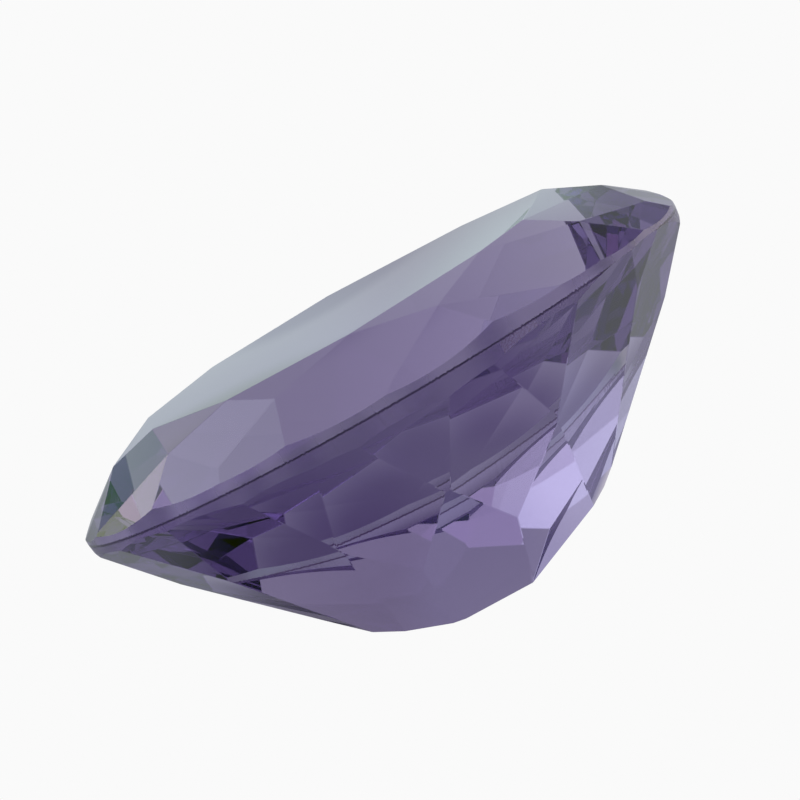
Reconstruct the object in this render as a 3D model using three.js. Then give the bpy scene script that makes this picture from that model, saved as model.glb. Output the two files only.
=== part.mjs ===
// A faceted oval gemstone, lavender-purple scapolite, lying on one of its lower pavilion facets.
// Units are millimetres and degrees. The stone is cut in its own frame: x along its length, y across its
// width (negative y is the near side), z along the normal of the table, with the girdle at z = 0.

import * as THREE from 'three';

// Driving dimensions
const LENGTH = 10.00;
const WIDTH = 7.86;
const TABLE_HEIGHT = 1.07;
const GIRDLE_SIDES = 96;
const SNAP = 0.001;

// Crown
// One entry for each corner of the table on the near side, from the left end to the right end. The kite
// facet is cut through that corner of the table, and a star facet slopes from each edge of the table. The
// two girdle facets beside the kite, before and after it, are cut to the outer points of the two stars.
// index: turned from the near side toward the right end. slope: from the plane of the girdle.
const TABLE_CORNERS = [
  {
    corner: [-3.31, -0.79],
    kite: { index: -69.0, slope: 31.5 },
    before: { index: -85.5, slope: 39.5 },
    after: { index: -61.0, slope: 38.5 },
  },
  {
    corner: [-2.13, -2.38],
    kite: { index: -28.0, slope: 39.0 },
    before: { index: -32.0, slope: 42.5 },
    after: { index: -24.5, slope: 42.5 },
  },
  {
    corner: [-0.11, -2.90],
    kite: { index: -5.0, slope: 41.5 },
    before: { index: -6.0, slope: 43.0 },
    after: { index: 5.0, slope: 52.0 },
  },
  {
    corner: [2.15, -2.09],
    kite: { index: 38.0, slope: 33.5 },
    before: { index: 27.5, slope: 42.5 },
    after: { index: 48.5, slope: 38.5 },
  },
  {
    corner: [2.93, -1.32],
    kite: { index: 75.5, slope: 27.0 },
    before: { index: 66.5, slope: 36.0 },
    after: { index: 88.0, slope: 39.0 },
  },
];

// Slopes of the star facets between those corners, and of the two at the ends of the stone
const STAR_SLOPES = [19.5, 26.5, 16.5, 27.5];
const LEFT_END_STAR_SLOPE = 19.5;
const RIGHT_END_STAR_SLOPE = 24.5;

// The crown's far side mirrors the near side, except for the last corner of the table
const FAR_RIGHT_CORNER = [3.43, 0.95];

// Pavilion
// A row cuts one facet in each quarter of the stone, or two where it faces a side or an end. index: turned
// from the side of the stone toward its end. slope: from the plane of the girdle. reach: distance of the
// facet from the stone's centre. A slip is what the cutter's hand added on the right half of the stone and
// took away on the left half, in the same order: index, slope, reach.
const PAVILION = [
  { name: 'side break', index: 0, slope: 48.5, reach: 3.10, slip: [-1, 0, 0] },
  { name: 'first corner break', index: 23, slope: 48.0, reach: 3.16, slip: [2, 1, 0.04] },
  { name: 'second corner break', index: 52.5, slope: 49.0, reach: 3.52, slip: [1, 0, -0.02] },
  { name: 'end break', index: 90, slope: 51.0, reach: 3.97 },
  { name: 'first main', index: 14, slope: 45.0, reach: 3.00 },
  { name: 'second main', index: 42, slope: 45.5, reach: 3.23, slip: [3, 0, 0] },
  { name: 'third main', index: 64, slope: 46.5, reach: 3.54, slip: [-4, 0, -0.08] },
  { name: 'side keel facet', index: 0, slope: 39.5, reach: 2.97, slip: [-2, 0, 0] },
  { name: 'first keel facet', index: 25, slope: 41.0, reach: 3.08, slip: [2, -1, 0] },
  { name: 'second keel facet', index: 41.5, slope: 46.0, reach: 3.23, slip: [3, 0, 0] },
  { name: 'end keel facet', index: 90, slope: 44.5, reach: 3.76 },
];

const UP = 1;
const DOWN = -1;
const NEAR = -1;
const FAR = 1;
const RIGHT = 1;
const LEFT = -1;

// What facets of the far side differ by from their twins on the near side: index, slope, reach
const FAR_SIDE_SLIPS = [
  { name: 'side break', along: RIGHT, slip: [0.5, 0.5, 0.04] },
  { name: 'first corner break', along: LEFT, slip: [2, 0.5, -0.12] },
  { name: 'second corner break', along: LEFT, slip: [1.5, -0.5, 0.02] },
  { name: 'first main', along: RIGHT, slip: [1, 1.5, -0.02] },
  { name: 'second main', along: RIGHT, slip: [0, 0, 0.08] },
  { name: 'second main', along: LEFT, slip: [0, 0, 0.08] },
  { name: 'third main', along: RIGHT, slip: [4, 0, 0] },
  { name: 'third main', along: LEFT, slip: [1, -1.5, 0] },
  { name: 'side keel facet', along: RIGHT, slip: [0, 0, -0.04] },
  { name: 'first keel facet', along: RIGHT, slip: [3, 1, -0.08] },
  { name: 'first keel facet', along: LEFT, slip: [-3.5, 0.5, -0.08] },
  { name: 'second keel facet', along: RIGHT, slip: [-0.5, -1.5, 0.04] },
  { name: 'second keel facet', along: LEFT, slip: [2.5, -1, 0] },
];

// The stone lies on the side keel facet of the far side
const RESTING_ROW = 'side keel facet';

// The normal of a facet, pointing out of the stone
function facetNormal(index, slope, rise, across) {
  const turn = THREE.MathUtils.degToRad(index);
  const tilt = THREE.MathUtils.degToRad(slope);
  return new THREE.Vector3(
    Math.sin(turn) * Math.sin(tilt),
    across * Math.cos(turn) * Math.sin(tilt),
    rise * Math.cos(tilt),
  );
}

// A crown facet cut to a point of the stone
function cutTo(point, facet, across) {
  const normal = facetNormal(facet.index, facet.slope, UP, across);
  return new THREE.Plane().setFromNormalAndCoplanarPoint(normal, point);
}

// A star facet, sloping outward from the edge of the table that runs from one corner to the next
function starPlane(from, to, slope) {
  const tilt = THREE.MathUtils.degToRad(slope);
  const outward = new THREE.Vector3(to.y - from.y, from.x - to.x, 0).normalize();
  const normal = outward.multiplyScalar(Math.sin(tilt)).setZ(Math.cos(tilt));
  return new THREE.Plane().setFromNormalAndCoplanarPoint(normal, from);
}

// The point where three facets meet
function meet(p, q, r) {
  const point = new THREE.Vector3();
  for (const [a, b, c] of [[p, q, r], [q, r, p], [r, p, q]]) {
    point.addScaledVector(b.normal.clone().cross(c.normal), -a.constant);
  }
  return point.divideScalar(p.normal.dot(q.normal.clone().cross(r.normal)));
}

// The ring of table corners, counter-clockwise seen from above, each with its side of the stone
function tableRing() {
  const near = TABLE_CORNERS.map((entry) => ({
    point: new THREE.Vector3(...entry.corner, TABLE_HEIGHT),
    across: NEAR,
    kite: entry.kite,
    before: entry.before,
    after: entry.after,
  }));
  const far = TABLE_CORNERS.map((entry) => ({
    point: new THREE.Vector3(entry.corner[0], -entry.corner[1], TABLE_HEIGHT),
    across: FAR,
    kite: entry.kite,
    before: entry.after,
    after: entry.before,
  }));
  far.at(-1).point.set(...FAR_RIGHT_CORNER, TABLE_HEIGHT);
  return [...near, ...far.reverse()];
}

// All the planes of the crown but the table
function crownPlanes() {
  const ring = tableRing();
  const slopes = [
    ...STAR_SLOPES,
    RIGHT_END_STAR_SLOPE,
    ...[...STAR_SLOPES].reverse(),
    LEFT_END_STAR_SLOPE,
  ];
  const next = (i) => ring[(i + 1) % ring.length];
  const kites = ring.map((entry) => cutTo(entry.point, entry.kite, entry.across));
  const stars = ring.map((entry, i) => starPlane(entry.point, next(i).point, slopes[i]));
  const girdleFacets = ring.flatMap((entry, i) => {
    const point = meet(stars[i], kites[i], kites[(i + 1) % ring.length]);
    return [cutTo(point, entry.after, entry.across), cutTo(point, next(i).before, next(i).across)];
  });
  return [...kites, ...girdleFacets, ...stars];
}

// What a facet of the far side differs by from its twin on the near side
function farSlip(row, across, along) {
  const matches = (entry) => across === FAR && entry.name === row.name && entry.along === along;
  return FAR_SIDE_SLIPS.find(matches)?.slip ?? [0, 0, 0];
}

// The plane of one pavilion facet
function pavilionPlane(row, across, along) {
  const [indexSlip, slopeSlip, reachSlip] = row.slip ?? [0, 0, 0];
  const [farIndex, farSlope, farReach] = farSlip(row, across, along);
  const index = along * row.index + indexSlip + farIndex;
  const slope = row.slope + along * slopeSlip + farSlope;
  const normal = facetNormal(index, slope, DOWN, across);
  return new THREE.Plane(normal, -(row.reach + along * reachSlip + farReach));
}

// All the planes that one row of the pavilion cuts
function rowPlanes(row) {
  const halves = row.index === 0 ? [RIGHT] : [RIGHT, LEFT];
  const sides = row.index === 90 ? [NEAR] : [NEAR, FAR];
  return halves.flatMap((along) => sides.map((across) => pavilionPlane(row, across, along)));
}

// The girdle, an oval drawn by many narrow upright flats
function girdlePlanes() {
  return Array.from({ length: GIRDLE_SIDES }, (_, i) => {
    const turn = ((i + 0.5) * 2 * Math.PI) / GIRDLE_SIDES;
    const outward = new THREE.Vector3((2 * Math.cos(turn)) / LENGTH, (2 * Math.sin(turn)) / WIDTH, 0);
    const reach = 1 / outward.length();
    return new THREE.Plane(outward.normalize(), -reach);
  });
}

// The rough: a block larger than the stone, as six loops of corners seen from outside
function roughBlock(size) {
  const corner = (x, y, z) => new THREE.Vector3(x, y, z).multiplyScalar(size / 2);
  const c = [-1, 1].map((z) => [corner(-1, -1, z), corner(1, -1, z), corner(1, 1, z), corner(-1, 1, z)]);
  const walls = [0, 1, 2, 3].map((i) => [c[0][i], c[0][(i + 1) % 4], c[1][(i + 1) % 4], c[1][i]]);
  return [[...c[0]].reverse(), c[1], ...walls];
}

// Corners around a new facet, in order as seen from outside
function orderAround(corners, normal) {
  const middle = corners.reduce((sum, v) => sum.add(v), new THREE.Vector3()).divideScalar(corners.length);
  const first = corners[0].clone().sub(middle).projectOnPlane(normal).normalize();
  const second = normal.clone().cross(first);
  const angle = (v) => Math.atan2(v.clone().sub(middle).dot(second), v.clone().sub(middle).dot(first));
  return corners.sort((a, b) => angle(a) - angle(b));
}

// Grinds away what stands in front of the plane and closes the stone with the new facet
function grind(facets, plane) {
  const height = new Map();
  for (const corner of facets.flat()) {
    const h = plane.distanceToPoint(corner);
    height.set(corner, Math.abs(h) < SNAP ? 0 : h);
  }
  if (Math.max(...height.values()) <= 0) return facets;

  const crossings = new Map();
  const crossing = (a, b) => {
    if (!crossings.has(a)) crossings.set(a, new Map());
    if (!crossings.has(b)) crossings.set(b, new Map());
    if (!crossings.get(a).has(b)) {
      const share = height.get(a) / (height.get(a) - height.get(b));
      const point = a.clone().lerp(b, share);
      crossings.get(a).set(b, point);
      crossings.get(b).set(a, point);
    }
    return crossings.get(a).get(b);
  };

  const edge = new Set();
  const kept = [];
  for (const facet of facets) {
    const loop = [];
    facet.forEach((a, i) => {
      const b = facet[(i + 1) % facet.length];
      if (height.get(a) <= 0) loop.push(a);
      if (height.get(a) * height.get(b) < 0) loop.push(crossing(a, b));
    });
    if (!loop.some((v) => height.get(v) < 0)) continue;
    kept.push(loop);
    loop.filter((v) => !(height.get(v) < 0)).forEach((v) => edge.add(v));
  }
  return edge.size < 3 ? kept : [...kept, orderAround([...edge], plane.normal)];
}

// A mesh geometry with flat facets, each a fan of triangles
function facetedGeometry(facets) {
  const positions = [];
  for (const facet of facets) {
    for (let i = 1; i + 1 < facet.length; i += 1) {
      for (const corner of [facet[0], facet[i], facet[i + 1]]) positions.push(...corner.toArray());
    }
  }
  const geometry = new THREE.BufferGeometry();
  geometry.setAttribute('position', new THREE.Float32BufferAttribute(positions, 3));
  geometry.computeVertexNormals();
  return geometry;
}

// The whole stone in its own frame
function makeStone() {
  const table = new THREE.Plane(new THREE.Vector3(0, 0, 1), -TABLE_HEIGHT);
  const planes = [...girdlePlanes(), ...PAVILION.flatMap(rowPlanes), ...crownPlanes(), table];
  const stone = new THREE.Mesh(
    facetedGeometry(planes.reduce(grind, roughBlock(3 * LENGTH))),
    new THREE.MeshStandardMaterial({ color: 0x857aa6, roughness: 0.05, metalness: 0 }),
  );
  stone.name = 'scapolite_gem';
  return stone;
}

// Turns the stone onto its resting facet, with its length along X, and sets it down at the origin
function layDown(stone) {
  const row = PAVILION.find((entry) => entry.name === RESTING_ROW);
  const restingNormal = pavilionPlane(row, FAR, RIGHT).normal;
  const tilt = new THREE.Quaternion().setFromUnitVectors(restingNormal, new THREE.Vector3(0, 0, -1));
  const lengthwise = new THREE.Vector3(1, 0, 0).applyQuaternion(tilt);
  const turn = new THREE.Quaternion().setFromAxisAngle(
    new THREE.Vector3(0, 0, 1),
    -Math.atan2(lengthwise.y, lengthwise.x),
  );
  const lying = new THREE.Group();
  lying.add(stone);
  lying.quaternion.multiplyQuaternions(turn, tilt);
  const box = new THREE.Box3().setFromObject(lying, true);
  const middle = box.getCenter(new THREE.Vector3());
  lying.position.set(-middle.x, -middle.y, -box.min.z);
  return lying;
}

const gem = new THREE.Group();
gem.add(layDown(makeStone()));

export default gem;
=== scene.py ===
"""Looks of a loose cut gemstone: an oval, lavender-purple scapolite lying on one of its pavilion facets.

The stone's facets are taken from the CAD solid and cut again with a smooth oval girdle, fine polished edges
and a ground girdle band. All lengths are metres unless a name says otherwise.
"""

import logging
import math
from dataclasses import dataclass, field
from enum import Enum
from typing import Any

import bpy
import numpy as np
from mathutils import Matrix, Vector


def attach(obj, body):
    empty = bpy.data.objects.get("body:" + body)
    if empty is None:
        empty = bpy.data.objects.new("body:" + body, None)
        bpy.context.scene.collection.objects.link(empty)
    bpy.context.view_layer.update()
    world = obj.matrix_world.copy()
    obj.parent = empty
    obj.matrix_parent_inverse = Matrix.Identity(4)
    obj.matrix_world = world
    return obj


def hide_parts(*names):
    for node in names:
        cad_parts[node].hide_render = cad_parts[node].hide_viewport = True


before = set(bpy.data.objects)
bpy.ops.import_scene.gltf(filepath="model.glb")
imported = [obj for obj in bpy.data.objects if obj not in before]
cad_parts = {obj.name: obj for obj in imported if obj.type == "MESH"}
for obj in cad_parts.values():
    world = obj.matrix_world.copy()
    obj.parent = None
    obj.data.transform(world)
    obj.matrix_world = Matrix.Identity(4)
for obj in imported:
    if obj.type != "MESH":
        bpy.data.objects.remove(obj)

log = logging.getLogger("scapolite")

NODE = "scapolite_gem"
MM = 0.001
BAND_LINE_MM = -0.01

Colour = tuple[float, float, float]
Loop = list[int]


class Finish(Enum):
    """How a face of the stone is worked."""

    POLISHED = 0.0
    RUBBED = 0.5
    GROUND = 1.0


class Socket:
    """Wraps a shader socket, so that sums on it read as plain expressions."""

    def __init__(self, shader: "Shader", link: Any) -> None:
        """Keeps the shader that owns the socket, and the socket or number."""
        self.shader = shader
        self.link = link

    def _math(self, operation: str, *values: Any) -> "Socket":
        """Adds a Math node.

        Args:
            operation: the Math node's operation.
            values: its inputs, sockets or numbers.

        Returns:
            The node's result.
        """
        inputs = {i: v for i, v in enumerate(values)}
        return self.shader.node("ShaderNodeMath", {"operation": operation}, inputs)

    def __add__(self, other: Any) -> "Socket":
        """Sum."""
        return self._math("ADD", self, other)

    __radd__ = __add__

    def __sub__(self, other: Any) -> "Socket":
        """Difference."""
        return self._math("SUBTRACT", self, other)

    def __rsub__(self, other: Any) -> "Socket":
        """Difference with the socket on the right."""
        return self._math("SUBTRACT", other, self)

    def __mul__(self, other: Any) -> "Socket":
        """Product."""
        return self._math("MULTIPLY", self, other)

    __rmul__ = __mul__

    def __truediv__(self, other: Any) -> "Socket":
        """Quotient."""
        return self._math("DIVIDE", self, other)

    def __rtruediv__(self, other: Any) -> "Socket":
        """Quotient with the socket below the line."""
        return self._math("DIVIDE", other, self)

    def __gt__(self, other: Any) -> "Socket":
        """One where the socket is the greater, else nought."""
        return self._math("GREATER_THAN", self, other)

    def __lt__(self, other: Any) -> "Socket":
        """One where the socket is the smaller, else nought."""
        return self._math("LESS_THAN", self, other)

    def __abs__(self) -> "Socket":
        """Size without the sign."""
        return self._math("ABSOLUTE", self)

    def arc_cosine(self) -> "Socket":
        """Angle in radians whose cosine is the socket."""
        return self._math("ARCCOSINE", self)

    def ramp(self, low: float, high: float) -> "Socket":
        """Runs smoothly from nought at low to one at high.

        Args:
            low: value that gives nought.
            high: value that gives one.

        Returns:
            The eased value.
        """
        settings = {"interpolation_type": "SMOOTHSTEP"}
        inputs = {"Value": self, "From Min": low, "From Max": high}
        return self.shader.node("ShaderNodeMapRange", settings, inputs)


class Shader:
    """A node tree of a material or a world, built by calls."""

    def __init__(self, owner: Any) -> None:
        """Starts an empty tree on a material or a world."""
        owner.use_nodes = True
        self.tree = owner.node_tree
        self.tree.nodes.clear()

    def node(
        self,
        kind: str,
        settings: dict[str, Any] | None = None,
        inputs: dict[Any, Any] | None = None,
        output: Any = 0,
    ) -> Socket:
        """Adds a node.

        Args:
            kind: the node's type.
            settings: its own settings, set before its sockets.
            inputs: values or links by socket name or number.
            output: name or number of the output that is returned.

        Returns:
            The chosen output of the node.
        """
        made = self.tree.nodes.new(kind)
        for name, value in (settings or {}).items():
            setattr(made, name, value)
        for key, value in (inputs or {}).items():
            plug = value.link if isinstance(value, Socket) else value
            if isinstance(plug, bpy.types.NodeSocket):
                self.tree.links.new(plug, made.inputs[key])
            else:
                made.inputs[key].default_value = plug
        return Socket(self, made.outputs[output] if len(made.outputs) else None)

    def mix(self, factor: Any, first: Any, second: Any) -> Socket:
        """Blends two colours.

        Args:
            factor: share of the second.
            first: a colour or a socket.
            second: a colour or a socket.

        Returns:
            The blend.
        """
        colours = [(*c, 1.0) if isinstance(c, tuple) else c for c in (first, second)]
        inputs = {0: factor, 6: colours[0], 7: colours[1]}
        return self.node("ShaderNodeMix", {"data_type": "RGBA"}, inputs, 2)

    def noise(self, value: Socket, detail: float) -> Socket:
        """Adds a noise that runs along one value.

        Args:
            value: place along the noise, one feature to a unit.
            detail: octaves of finer noise.

        Returns:
            The noise, from nought to one.
        """
        inputs = {"W": value, "Scale": 1.0, "Detail": detail}
        return self.node("ShaderNodeTexNoise", {"noise_dimensions": "1D"}, inputs, "Fac")

    def noise_at(self, place: Socket, scale: float) -> Socket:
        """Adds a noise over a flat map.

        Args:
            place: place on the map.
            scale: features in a unit of the map.

        Returns:
            The noise, from nought to one.
        """
        inputs = {"Vector": place, "Scale": scale, "Detail": 1.0}
        return self.node("ShaderNodeTexNoise", {"noise_dimensions": "2D"}, inputs, "Fac")

    def measure(self, operation: str, first: Any, second: Any) -> Socket:
        """Adds a Vector Math node that gives a number.

        Args:
            operation: the node's operation.
            first: a vector or a socket.
            second: a vector or a socket.

        Returns:
            The number.
        """
        inputs = {0: first, 1: second}
        return self.node("ShaderNodeVectorMath", {"operation": operation}, inputs, "Value")


@dataclass
class CutPlane:
    """One flat of the stone: its outward normal and its distance from the stone's centre."""

    normal: np.ndarray
    reach: float
    finish: Finish = Finish.POLISHED


@dataclass
class Facet:
    """A face: the numbers of its corners, in order seen from outside, how it is worked, and its plane."""

    loop: Loop
    finish: Finish
    plane: CutPlane | None = None


class CadSolid:
    """The planes of the CAD solid, and the stone's own axes.

    SAME_NORMAL is the cosine above which two normals count as one, SAME_PLACE the distance in metres within
    which two planes do, and GIRDLE_LEAN the sine of the steepest lean that a girdle flat has.
    """

    SAME_NORMAL = 0.99999
    SAME_PLACE = 2e-6
    GIRDLE_LEAN = 0.02

    def __init__(self, node: str) -> None:
        """Reads the facets of a node of the frame."""
        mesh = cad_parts[node].data
        mesh.calc_loop_triangles()
        points = np.array([v.co for v in mesh.vertices])
        self.planes: list[CutPlane] = []
        areas: list[float] = []
        for triangle in mesh.loop_triangles:
            a, b, c = points[list(triangle.vertices)]
            cross = np.cross(b - a, c - a)
            area = float(np.linalg.norm(cross)) / 2
            normal = cross / (2 * area)
            found = self._find(normal, float(normal @ a))
            if found is None:
                self.planes.append(CutPlane(normal, float(normal @ a)))
                areas.append(area)
            else:
                areas[found] += area
        self.axis = self.planes[int(np.argmax(areas))].normal
        self.along = np.array([self.axis[2], 0.0, -self.axis[0]])
        self.along /= np.linalg.norm(self.along)
        self.across = np.cross(self.axis, self.along)
        girdle = self._girdle_points(points)
        low, high = girdle.min(0), girdle.max(0)
        self.middle = (low + high) / 2
        self.length, self.width = (high - low)[:2]

    def _find(self, normal: np.ndarray, reach: float) -> int | None:
        """Finds a plane that is already listed.

        Args:
            normal: outward normal.
            reach: distance from the origin.

        Returns:
            Its number, or None.
        """
        for i, plane in enumerate(self.planes):
            if plane.normal @ normal > self.SAME_NORMAL and abs(plane.reach - reach) < self.SAME_PLACE:
                return i
        return None

    def is_girdle(self, plane: CutPlane) -> bool:
        """Says whether a plane stands upright on the table, as the girdle does."""
        return abs(float(plane.normal @ self.axis)) < self.GIRDLE_LEAN

    def _girdle_points(self, points: np.ndarray) -> np.ndarray:
        """Finds the corners of the girdle.

        Args:
            points: all corners of the solid.

        Returns:
            Those on the girdle, along the stone's own axes.
        """
        flats = [p for p in self.planes if self.is_girdle(p)]
        near = [any(abs(p.normal @ q - p.reach) < self.SAME_PLACE for p in flats) for q in points]
        return points[near] @ np.array([self.along, self.across, self.axis]).T

    def own_frame(self) -> Matrix:
        """Gives the matrix from the stone's own axes, in millimetres, to the frame."""
        turn = np.array([self.along, self.across, self.axis]).T
        rows = np.column_stack([turn * MM, turn @ self.middle])
        return Matrix(np.vstack([rows, [0, 0, 0, 1]]).tolist())

    def facet_planes(self) -> list[CutPlane]:
        """Gives the facets other than the girdle, in the stone's own axes and millimetres."""
        turn = np.array([self.along, self.across, self.axis])
        centre = turn.T @ self.middle
        return [
            CutPlane(turn @ p.normal, (p.reach - float(p.normal @ centre)) / MM)
            for p in self.planes
            if not self.is_girdle(p)
        ]


@dataclass
class CutStone:
    """The fine stone: the same facets on a smooth girdle in two bands, with every edge lightly rubbed.

    The lean of the girdle's lower band is in degrees.
    """

    solid: CadSolid
    girdle_sides: int = 288
    band_line_mm: float = BAND_LINE_MM
    lower_band_lean: float = 8.0
    edge_flat_mm: float = 0.018
    shortest_edge_mm: float = 0.12
    tiny_mm: float = 1e-6
    points: list[np.ndarray] = field(default_factory=list)
    facets: list[Facet] = field(default_factory=list)

    def _block(self) -> None:
        """Starts from a tall oval block, upright above the band line and leaning in below."""
        half_length = self.solid.length / MM / 2
        half_width = self.solid.width / MM / 2
        tall = half_length
        inward = tall * math.tan(math.radians(self.lower_band_lean))
        sides = self.girdle_sides
        for z, less in ((-tall, inward), (self.band_line_mm, 0.0), (tall, 0.0)):
            for i in range(sides):
                turn = 2 * math.pi * i / sides
                corner = ((half_length - less) * math.cos(turn), (half_width - less) * math.sin(turn), z)
                self.points.append(np.array(corner))
        self.facets = [
            Facet(list(reversed(range(sides))), Finish.POLISHED),
            Facet(list(range(2 * sides, 3 * sides)), Finish.POLISHED),
        ]
        for ring, finish in ((0, Finish.GROUND), (sides, Finish.RUBBED)):
            for i in range(sides):
                a, b = ring + i, ring + (i + 1) % sides
                self.facets.append(Facet([a, b, b + sides, a + sides], finish))

    def _grind(self, plane: CutPlane) -> None:
        """Grinds away what stands in front of a plane, and closes the stone with the new facet.

        Args:
            plane: the new flat.
        """
        height = np.array(self.points) @ plane.normal - plane.reach
        height[np.abs(height) < self.tiny_mm] = 0.0
        if height.max() <= 0:
            return
        crossings: dict[tuple[int, int], int] = {}
        kept: list[Facet] = []
        edge: set[int] = set()
        for facet in self.facets:
            loop: Loop = []
            for a, b in zip(facet.loop, facet.loop[1:] + facet.loop[:1]):
                if height[a] <= 0:
                    loop.append(a)
                if height[a] * height[b] < 0:
                    key = (min(a, b), max(a, b))
                    if key not in crossings:
                        share = height[key[0]] / (height[key[0]] - height[key[1]])
                        crossings[key] = len(self.points)
                        self.points.append(
                            self.points[key[0]] + share * (self.points[key[1]] - self.points[key[0]])
                        )
                    loop.append(crossings[key])
            made = set(crossings.values())
            if any(i not in made and height[i] < 0 for i in loop):
                kept.append(Facet(loop, facet.finish, facet.plane))
                edge.update(i for i in loop if i in made or height[i] == 0)
        if len(edge) > 2:
            kept.append(Facet(self._ordered(sorted(edge), plane.normal), plane.finish, plane))
        self.facets = kept

    def _ordered(self, loop: Loop, normal: np.ndarray) -> Loop:
        """Puts corners in order around a facet.

        Args:
            loop: the corners.
            normal: the facet's outward normal.

        Returns:
            The corners, counter-clockwise seen from outside.
        """
        corners = np.array([self.points[i] for i in loop])
        middle = corners.mean(0)
        first = corners[0] - middle
        first -= normal * (first @ normal)
        second = np.cross(normal, first)
        turn = np.arctan2((corners - middle) @ second, (corners - middle) @ first)
        return [loop[i] for i in np.argsort(turn)]

    def _edge_flats(self) -> list[CutPlane]:
        """Finds the narrow flats that polishing leaves along the edges between facets.

        Returns:
            Their planes.
        """
        beside: dict[tuple[int, int], list[Facet]] = {}
        for facet in self.facets:
            if facet.plane is None:
                continue
            for a, b in zip(facet.loop, facet.loop[1:] + facet.loop[:1]):
                beside.setdefault((min(a, b), max(a, b)), []).append(facet)
        flats: list[CutPlane] = []
        for (a, b), pair in beside.items():
            long_enough = np.linalg.norm(self.points[a] - self.points[b]) > self.shortest_edge_mm
            if len(pair) < 2 or not long_enough:
                continue
            first, second = (facet.plane.normal for facet in pair)
            normal = (first + second) / np.linalg.norm(first + second)
            half_turn = math.acos(min(1.0, float(first @ second))) / 2
            depth = self.edge_flat_mm / 2 * math.tan(half_turn)
            flats.append(CutPlane(normal, float(normal @ self.points[a]) - depth))
        return flats

    def cut(self) -> None:
        """Cuts the stone from the block, then rubs its edges."""
        self._block()
        for plane in self.solid.facet_planes():
            self._grind(plane)
        for plane in self._edge_flats():
            self._grind(plane)

    def build(self) -> bpy.types.Object:
        """Makes the mesh of the cut stone.

        Returns:
            The stone, in the frame.
        """
        self.cut()
        used = sorted({i for facet in self.facets for i in facet.loop})
        number = {old: new for new, old in enumerate(used)}
        place = self.solid.own_frame()
        corners = [place @ Vector(self.points[i]) for i in used]
        faces = [[number[i] for i in facet.loop] for facet in self.facets]
        mesh = bpy.data.meshes.new("cut_scapolite")
        mesh.from_pydata([tuple(c) for c in corners], [], faces)
        mesh.update()
        self._smooth_girdle(mesh)
        self._map_girdle(mesh, [self.points[i] for i in used])
        piece = bpy.data.objects.new("cut_scapolite", mesh)
        bpy.context.scene.collection.objects.link(piece)
        return piece

    def _smooth_girdle(self, mesh: bpy.types.Mesh) -> None:
        """Shades each band of the girdle as one round surface, sharp against its neighbours.

        Args:
            mesh: the stone's mesh.
        """
        finishes: dict[tuple[int, int], set[Finish]] = {}
        for polygon, facet in zip(mesh.polygons, self.facets):
            polygon.use_smooth = facet.finish is not Finish.POLISHED
            for key in polygon.edge_keys:
                finishes.setdefault(key, set()).add(facet.finish)
        for edge in mesh.edges:
            edge.use_edge_sharp = len(finishes[edge.key]) > 1

    def _map_girdle(self, mesh: bpy.types.Mesh, corners: list[np.ndarray]) -> None:
        """Writes the girdle's own measures, in millimetres, on the corners of the faces.

        Args:
            mesh: the stone's mesh.
            corners: its corners in the stone's own axes.
        """
        half_length = self.solid.length / MM / 2
        half_width = self.solid.width / MM / 2
        layer = mesh.uv_layers.new(name="girdle")
        worked = mesh.attributes.new("worked", "FLOAT", "FACE")
        round_turn = 2 * math.pi
        for polygon, facet in zip(mesh.polygons, self.facets):
            worked.data[polygon.index].value = facet.finish.value
            x, y, _ = np.mean([corners[i] for i in polygon.vertices], axis=0)
            middle = math.atan2(y / half_width, x / half_length)
            for loop in polygon.loop_indices:
                x, y, z = corners[mesh.loops[loop].vertex_index]
                turn = math.atan2(y / half_width, x / half_length)
                turn += round_turn * round((middle - turn) / round_turn)
                layer.data[loop].uv = (turn * (half_length + half_width) / 2, z)


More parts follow.
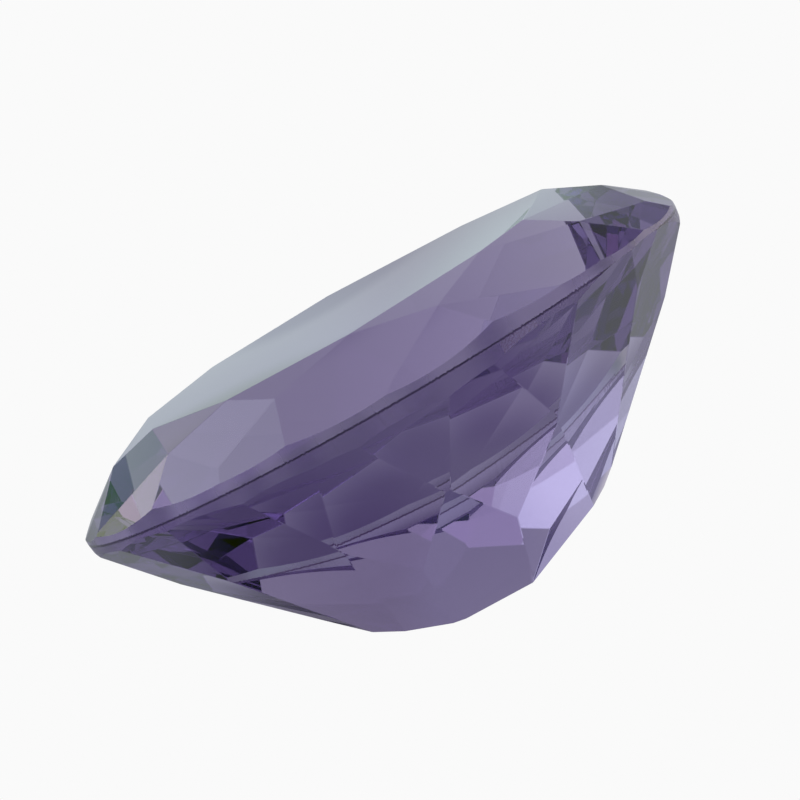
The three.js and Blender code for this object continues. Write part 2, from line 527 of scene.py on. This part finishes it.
@dataclass(frozen=True)
class ScapoliteFinish:
    """Clear lavender-purple scapolite: polished facets, a rubbed upper girdle band and a ground lower one.

    Lengths and places on the girdle are in millimetres along it, from the right end, and up from the middle
    of the girdle.
    """

    ior: float = 1.55
    absorption_colour: Colour = (0.48, 0.34, 0.66)
    absorption_per_metre: float = 250.0
    clear: Colour = (1.0, 1.0, 1.0)
    rubbed_roughness: float = 0.12
    ground_roughness: float = 0.24
    ground_colour: Colour = (0.90, 0.80, 0.97)
    rubbed_from: float = 0.25
    ground_from: float = 0.75
    band_line: float = BAND_LINE_MM
    line_half_width: float = 0.014
    line_fade: float = 1.6
    line_depth: float = 0.5
    line_colour: Colour = (0.10, 0.05, 0.13)
    haze_colour: Colour = (0.60, 0.52, 0.72)
    haze_roughness: float = 0.6
    rubbed_haze: float = 0.34
    ground_haze: float = 0.16
    cloud_length: float = 1.3
    cloud_from: float = 0.32
    cloud_to: float = 0.62
    cloud_least: float = 0.5
    cloud_more: float = 0.8
    tooth_length: float = 0.035
    tooth_height: float = 0.040
    groove_length: float = 0.040
    groove_height: float = 0.0060
    groove_slant: float = 3.0
    # The grainy patch of the ground band. Its roughness and bumps are the band's own surface, and its brown
    # colour is a painted refraction of the stone's inside seen through the band.
    brown_from: float = -5.45
    brown_to: float = -4.85
    refraction_brown: Colour = (0.42, 0.28, 0.36)
    brown_grain: float = 0.022
    brown_spots_from: float = 0.40
    brown_spots_to: float = 0.60
    brown_roughness: float = 0.4

    def material(self) -> bpy.types.Material:
        """Makes the stone's material.

        Returns:
            The material.
        """
        made = bpy.data.materials.new("scapolite_clear")
        shader = Shader(made)
        worked = shader.node("ShaderNodeAttribute", {"attribute_name": "worked"}, {}, "Fac")
        uv = shader.node("ShaderNodeUVMap", {"uv_map": "girdle"})
        along = shader.node("ShaderNodeSeparateXYZ", {}, {0: uv}, "X")
        height = shader.node("ShaderNodeSeparateXYZ", {}, {0: uv}, "Y")
        girdle = worked > self.rubbed_from
        ground = worked > self.ground_from

        teeth = shader.noise(along / self.tooth_length, 1.0) - 0.5
        off_line = abs(height - self.band_line - teeth * self.tooth_height)
        line = girdle * off_line.ramp(self.line_half_width * self.line_fade, self.line_half_width)
        grooves = shader.noise(along / self.groove_length + height * self.groove_slant, 2.0)
        grain = shader.noise_at(uv, 1 / self.brown_grain)
        in_brown = (along > self.brown_from) * (along < self.brown_to) * ground
        # Mask of the painted refraction: brown spots in the grainy patch.
        refraction_spots = in_brown * grain.ramp(self.brown_spots_from, self.brown_spots_to)

        colour = shader.mix(ground, self.clear, self.ground_colour)
        # Paints the refraction of the stone's inside as brown spots on the grainy patch.
        colour = shader.mix(refraction_spots, colour, self.refraction_brown)
        colour = shader.mix(line, colour, self.line_colour)
        roughness = girdle * self.rubbed_roughness
        roughness = roughness + ground * (self.ground_roughness - self.rubbed_roughness)
        roughness = roughness + in_brown * grain * self.brown_roughness
        relief = ground * grooves + in_brown * grain + line * -self.line_depth
        relief = relief * (self.groove_height * MM)
        normal = shader.node("ShaderNodeBump", {}, {"Strength": 1.0, "Distance": 1.0, "Height": relief})
        surface = shader.node(
            "ShaderNodeBsdfPrincipled",
            {},
            {
                "Base Color": colour,
                "Roughness": roughness,
                "Normal": normal,
                "IOR": self.ior,
                "Transmission Weight": 1.0,
            },
        )
        haze = shader.node(
            "ShaderNodeBsdfPrincipled",
            {},
            {
                "Base Color": (*self.haze_colour, 1.0),
                "Roughness": self.haze_roughness,
                "Normal": normal,
            },
        )
        haziness = girdle * self.rubbed_haze + ground * (self.ground_haze - self.rubbed_haze)
        clouds = shader.noise(along / self.cloud_length, 1.0).ramp(self.cloud_from, self.cloud_to)
        haziness = haziness * (clouds * self.cloud_more + self.cloud_least) * (1.0 - line)
        surface = shader.node("ShaderNodeMixShader", {}, {0: haziness, 1: surface, 2: haze})
        volume = shader.node(
            "ShaderNodeVolumeAbsorption",
            {},
            {"Color": (*self.absorption_colour, 1.0), "Density": self.absorption_per_metre},
        )
        shader.node("ShaderNodeOutputMaterial", {}, {"Surface": surface, "Volume": volume})
        return made


@dataclass
class Gem:
    """The gemstone, cut and dressed."""

    finish: ScapoliteFinish = field(default_factory=ScapoliteFinish)

    def build(self) -> bpy.types.Object:
        """Builds the stone in place of its CAD node.

        Returns:
            The stone.
        """
        stone = CutStone(CadSolid(NODE)).build()
        stone.data.materials.append(self.finish.material())
        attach(stone, "root")
        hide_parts(NODE)
        log.info("%s: %d faces", stone.name, len(stone.data.polygons))
        return stone


@dataclass(frozen=True)
class SkyLight:
    """A round soft panel in the dome of light, by its direction from the stone, in degrees."""

    azimuth: float
    elevation: float
    radius: float
    colour: Colour

    def toward(self) -> tuple[float, float, float]:
        """Gives the unit direction from the stone to the panel."""
        azimuth, elevation = math.radians(self.azimuth), math.radians(self.elevation)
        flat = math.cos(elevation)
        return (math.sin(azimuth) * flat, -math.cos(azimuth) * flat, math.sin(elevation))

    def cover(self, shader: Shader, direction: Socket) -> Socket:
        """Says how far the panel covers a direction.

        Args:
            shader: the world's nodes.
            direction: unit direction looked in.

        Returns:
            One inside the panel, easing to nought at its rim.
        """
        cosine = shader.measure("DOT_PRODUCT", direction, self.toward())
        angle = cosine.arc_cosine()
        rim = math.radians(self.radius)
        return angle.ramp(rim, rim / 2)


@dataclass(frozen=True)
class FloorShadowAndLightPatch:
    """A round soft patch on the floor, by its place in millimetres: a painted pool of light where it is
    bright, a painted shadow where it is dark.
    """

    x_mm: float
    y_mm: float
    radius_mm: float
    colour: Colour

    def cover(self, shader: Shader, place: Socket) -> Socket:
        """Says how far the painted patch covers a place of the floor.

        Args:
            shader: the floor's nodes.
            place: the place looked at, in metres.

        Returns:
            One inside the painted patch, easing to nought at its rim.
        """
        centre = (self.x_mm * MM, self.y_mm * MM, 0.0)
        away = shader.measure("DISTANCE", place, centre)
        rim = self.radius_mm * MM
        return away.ramp(rim, rim / 2)


@dataclass(frozen=True)
class Studio:
    """A pale floor, a dome of soft panels and the camera.

    The camera sees the floor and the dome as one pale colour. What the stone mirrors and bends is the soft
    panels, and the painted shadows and pools of light on the floor, which the camera never sees.
    """

    azimuth: float = -1.33
    elevation: float = 46.31
    roll: float = -28.16
    lens_mm: float = 600.0
    sensor_mm: float = 36.0
    nearest: float = 0.001
    farthest: float = 10.0
    bounces: int = 24
    view_width: float = 800 / 67.75 * MM
    look_at: tuple[float, float, float] = (0.058 * MM, -0.319 * MM, 2.598 * MM)
    floor_side: float = 1.2
    floor_gap: float = 0.01 * MM
    pale: Colour = (0.956, 0.956, 0.956)
    dome: Colour = (0.45, 0.46, 0.52)
    floor_glow: Colour = (0.36, 0.38, 0.42)
    panels: tuple[SkyLight, ...] = (
        SkyLight(-131, 23, 35, (1.16, 1.28, 1.36)),
        SkyLight(158, 9, 50, (0.36, 0.36, 0.42)),
        SkyLight(-117, 43, 24, (0.96, 1.00, 1.12)),
        SkyLight(-148, 29, 7, (1.56, 1.66, 1.92)),
        SkyLight(-107, 0, 50, (0.68, 0.78, 0.80)),
        SkyLight(-172, 60, 24, (0.60, 0.56, 0.72)),
    )
    # Painted shadows and pools of light on the floor, seen only by the stone. The dark patches are painted
    # shade, such as the contact shadow right under the stone, and the bright ones are painted pools of
    # light.
    floor_shadows_and_light_pools: tuple[FloorShadowAndLightPatch, ...] = (
        FloorShadowAndLightPatch(0, 3, 2, (0.16, 0.14, 0.24)),
        FloorShadowAndLightPatch(12, -6, 16, (0.64, 0.66, 0.72)),
        FloorShadowAndLightPatch(-3, -3, 3.5, (0.04, 0.06, 0.00)),
        FloorShadowAndLightPatch(-3, 9, 6, (0.56, 0.64, 0.68)),
        FloorShadowAndLightPatch(3, 9, 3.5, (0.58, 0.72, 0.68)),
        FloorShadowAndLightPatch(21, -3, 16, (1.20, 1.14, 0.92)),
        FloorShadowAndLightPatch(3, -3, 2, (0.80, 0.82, 1.08)),
        FloorShadowAndLightPatch(3, -6, 2, (0.34, 0.32, 0.44)),
        FloorShadowAndLightPatch(15, -9, 3.5, (1.60, 1.42, 1.48)),
        FloorShadowAndLightPatch(-21, 24, 16, (1.12, 1.26, 0.88)),
        FloorShadowAndLightPatch(0, -3, 2, (0.24, 0.28, 0.40)),
        FloorShadowAndLightPatch(-6, 12, 3.5, (0.16, 0.34, 0.20)),
    )

    def camera(self) -> bpy.types.Object:
        """Places the camera at the photograph's viewing angle.

        Returns:
            The camera.
        """
        data = bpy.data.cameras.new("camera")
        data.lens = self.lens_mm
        data.sensor_width = self.sensor_mm
        data.clip_start = self.nearest
        data.clip_end = self.farthest
        away = self.view_width * self.lens_mm / self.sensor_mm
        azimuth, elevation = math.radians(self.azimuth), math.radians(self.elevation)
        toward = Vector(
            (
                math.sin(azimuth) * math.cos(elevation),
                -math.cos(azimuth) * math.cos(elevation),
                math.sin(elevation),
            )
        )
        camera = bpy.data.objects.new("camera", data)
        place = Vector(self.look_at) + toward * away
        turn = toward.to_track_quat("Z", "Y").to_matrix().to_4x4()
        roll = Matrix.Rotation(math.radians(self.roll), 4, "Z")
        camera.matrix_world = Matrix.Translation(place) @ turn @ roll
        bpy.context.scene.collection.objects.link(camera)
        bpy.context.scene.camera = camera
        return camera

    def floor(self) -> bpy.types.Object:
        """Lays the pale floor.

        Returns:
            The floor.
        """
        half = self.floor_side / 2
        mesh = bpy.data.meshes.new("floor")
        depth = -self.floor_gap
        corners = [(-half, -half, depth), (half, -half, depth), (half, half, depth), (-half, half, depth)]
        mesh.from_pydata(corners, [], [(0, 1, 2, 3)])
        floor = bpy.data.objects.new("floor", mesh)
        bpy.context.scene.collection.objects.link(floor)
        made = bpy.data.materials.new("floor_pale")
        shader = Shader(made)
        place = shader.node("ShaderNodeNewGeometry", {}, {}, "Position")
        glow: Any = self.floor_glow
        # Paints the shadows and pools of light onto the floor's glow.
        for painted_patch in self.floor_shadows_and_light_pools:
            glow = shader.mix(painted_patch.cover(shader, place), glow, painted_patch.colour)
        # The camera sees the plain pale floor. The stone sees the glow with its painted shadows and pools
        # of light.
        seen = shader.node("ShaderNodeLightPath", {}, {}, "Is Camera Ray")
        surface = shader.node("ShaderNodeEmission", {}, {"Color": shader.mix(seen, glow, self.pale)})
        shader.node("ShaderNodeOutputMaterial", {}, {"Surface": surface})
        mesh.materials.append(made)
        return floor

    def world(self) -> None:
        """Gives the dome of soft light."""
        world = bpy.data.worlds.new("dome")
        shader = Shader(world)
        direction = shader.node("ShaderNodeTexCoord", {}, {}, "Generated")
        glow: Any = self.dome
        for panel in self.panels:
            glow = shader.mix(panel.cover(shader, direction), glow, panel.colour)
        seen = shader.node("ShaderNodeLightPath", {}, {}, "Is Camera Ray")
        back = shader.node("ShaderNodeBackground", {}, {"Color": shader.mix(seen, glow, self.pale)})
        shader.node("ShaderNodeOutputWorld", {}, {"Surface": back})
        bpy.context.scene.world = world

    def build(self) -> None:
        """Builds the studio."""
        self.camera()
        self.floor()
        self.world()
        scene = bpy.context.scene
        scene.view_settings.view_transform = "Standard"
        scene.cycles.max_bounces = self.bounces
        scene.cycles.transmission_bounces = self.bounces
        scene.cycles.glossy_bounces = self.bounces
        log.info("studio: camera, floor and dome")


def main() -> None:
    """Builds the studio and the stone."""
    logging.basicConfig(level=logging.INFO, format="%(name)s: %(message)s")
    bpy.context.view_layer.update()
    Studio().build()
    Gem().build()


if __name__ == "__main__":
    main()
